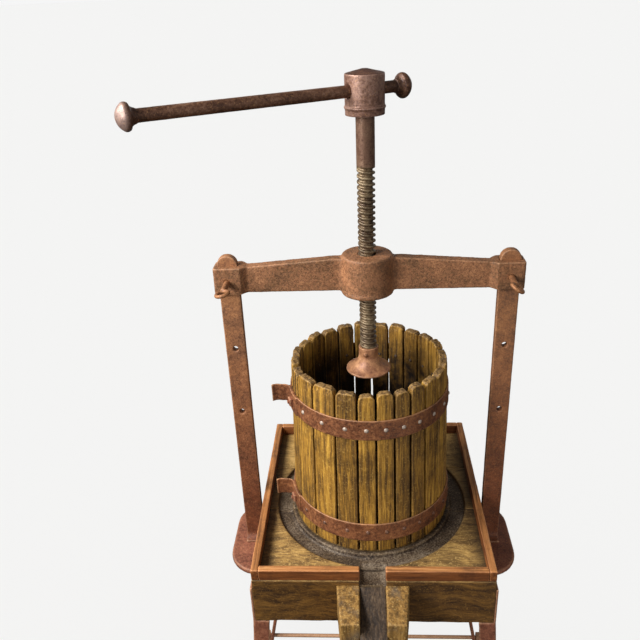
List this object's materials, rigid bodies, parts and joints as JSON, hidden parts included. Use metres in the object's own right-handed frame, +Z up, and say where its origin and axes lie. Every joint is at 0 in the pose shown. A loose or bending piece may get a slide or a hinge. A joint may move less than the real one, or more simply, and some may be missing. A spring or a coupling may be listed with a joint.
{
  "type": "apple cider press",
  "caption": "Hand apple cider press: iron crosshead and uprights, left-hand screw with sliding bar, slatted oak tub with iron hoops, wooden juice bed with spout, iron stand.",
  "frame": {"origin": "the floor point straight under the screw's axis", "axes": "+Z is up along the screw; -Y is towards the spout, where the juice leaves; +X is to the right of a person who faces the spout"},
  "size_m": [0.6568, 0.595, 1.611],
  "materials": {
    "stave_oak": "weathered oiled oak, open grain",
    "hoop_iron": "flat iron strap, brown rust with worn bright edges",
    "rivet_steel": "domed rivet heads, dull bright",
    "bolt_iron": "rusted square-headed fasteners",
    "bed_oak": "old oak plank, oiled and juice-stained",
    "trim_redwood": "red-stained hardwood strip, worn at the edges",
    "cheek_oak": "weathered oak block, coarse end grain",
    "chute_wood": "grey-brown juice-worn board",
    "upright_iron": "forged flat bar, brown rust",
    "crosshead_iron": "sand-cast iron, dark red-brown rust",
    "pin_iron": "forged pin, brown rust",
    "screw_steel": "old cut thread with grease and light rust",
    "head_iron": "cast hub, brown rust",
    "bar_steel": "hand-worn round bar, brown patina",
    "foot_iron": "turned iron foot, copper-brown patina",
    "follower_wood": "plain board, juice-stained",
    "stand_iron": "angle and flat iron, old red-brown paint and rust"
  },
  "bodies": {
    "frame": {"bed_plank_front": "bed_oak", "bed_plank_middle": "bed_oak", "bed_plank_back": "bed_oak", "trim_left": "trim_redwood", "trim_right": "trim_redwood", "trim_back": "trim_redwood", "trim_front_left": "trim_redwood", "trim_front_right": "trim_redwood", "spout_cheek_left": "cheek_oak", "spout_cheek_right": "cheek_oak", "spout_chute": "chute_wood", "sole_plate": "stand_iron", "upright_left": "upright_iron", "upright_right": "upright_iron", "crosshead": "crosshead_iron", "leg_front_left": "stand_iron", "leg_front_right": "stand_iron", "leg_rear_left": "stand_iron", "leg_rear_right": "stand_iron", "tie_rod": "stand_iron", "tie_rod_nuts": "bolt_iron", "lag_screws": "bolt_iron"},
    "foot": {"press_foot": "foot_iron", "foot_pin": "pin_iron"},
    "screw": {"screw": "screw_steel", "screw_head": "head_iron"},
    "handle": {"handle_bar": "bar_steel", "handle_knob": "bar_steel"},
    "pin_left": {"eye_pin_left": "pin_iron"},
    "pin_right": {"eye_pin_right": "pin_iron"},
    "tub": {"stave_01": "stave_oak", "stave_02": "stave_oak", "stave_03": "stave_oak", "stave_04": "stave_oak", "stave_05": "stave_oak", "stave_06": "stave_oak", "stave_07": "stave_oak", "stave_08": "stave_oak", "stave_09": "stave_oak", "stave_10": "stave_oak", "stave_11": "stave_oak", "stave_12": "stave_oak", "stave_13": "stave_oak", "stave_14": "stave_oak", "stave_15": "stave_oak", "stave_16": "stave_oak", "stave_17": "stave_oak", "stave_18": "stave_oak", "stave_19": "stave_oak", "stave_20": "stave_oak", "stave_21": "stave_oak", "stave_22": "stave_oak", "stave_23": "stave_oak", "stave_24": "stave_oak", "hoop_upper": "hoop_iron", "hoop_lower": "hoop_iron", "hoop_rivets": "rivet_steel", "hoop_bolts": "bolt_iron"},
    "follower": {"follower_board": "follower_wood", "follower_cleat": "follower_wood"}
  },
  "joints": [
    {"name": "screw_feed", "type": "slide", "parent": "frame", "child": "foot", "axis": [0, 0, 1], "range_m": [-0.1474, 0.1067]},
    {"name": "screw_turn", "type": "hinge", "parent": "foot", "child": "screw", "pos_m": [0, 0, 1.1], "axis": [0, 0, 1], "range_deg": [-3780, 5220]},
    {"name": "bar_slide", "type": "slide", "parent": "screw", "child": "handle", "axis": [0.8704, 0.4924, 0], "range_m": [-0.024, 0.34]},
    {"name": "pin_left_pull", "type": "slide", "parent": "frame", "child": "pin_left", "axis": [0, -1, 0], "range_m": [0, 0.06]},
    {"name": "pin_right_pull", "type": "slide", "parent": "frame", "child": "pin_right", "axis": [0, -1, 0], "range_m": [0, 0.06]},
    {"name": "tub_lift", "type": "slide", "parent": "frame", "child": "tub", "axis": [0, 0, 1], "range_m": [0, 0.12]},
    {"name": "follower_lift", "type": "slide", "parent": "frame", "child": "follower", "axis": [0, 0, 1], "range_m": [0, 0.11]}
  ],
  "couplings": [
    {"joint": "screw_feed", "follows": "screw_turn", "m_per_rad": -0.001617}
  ]
}
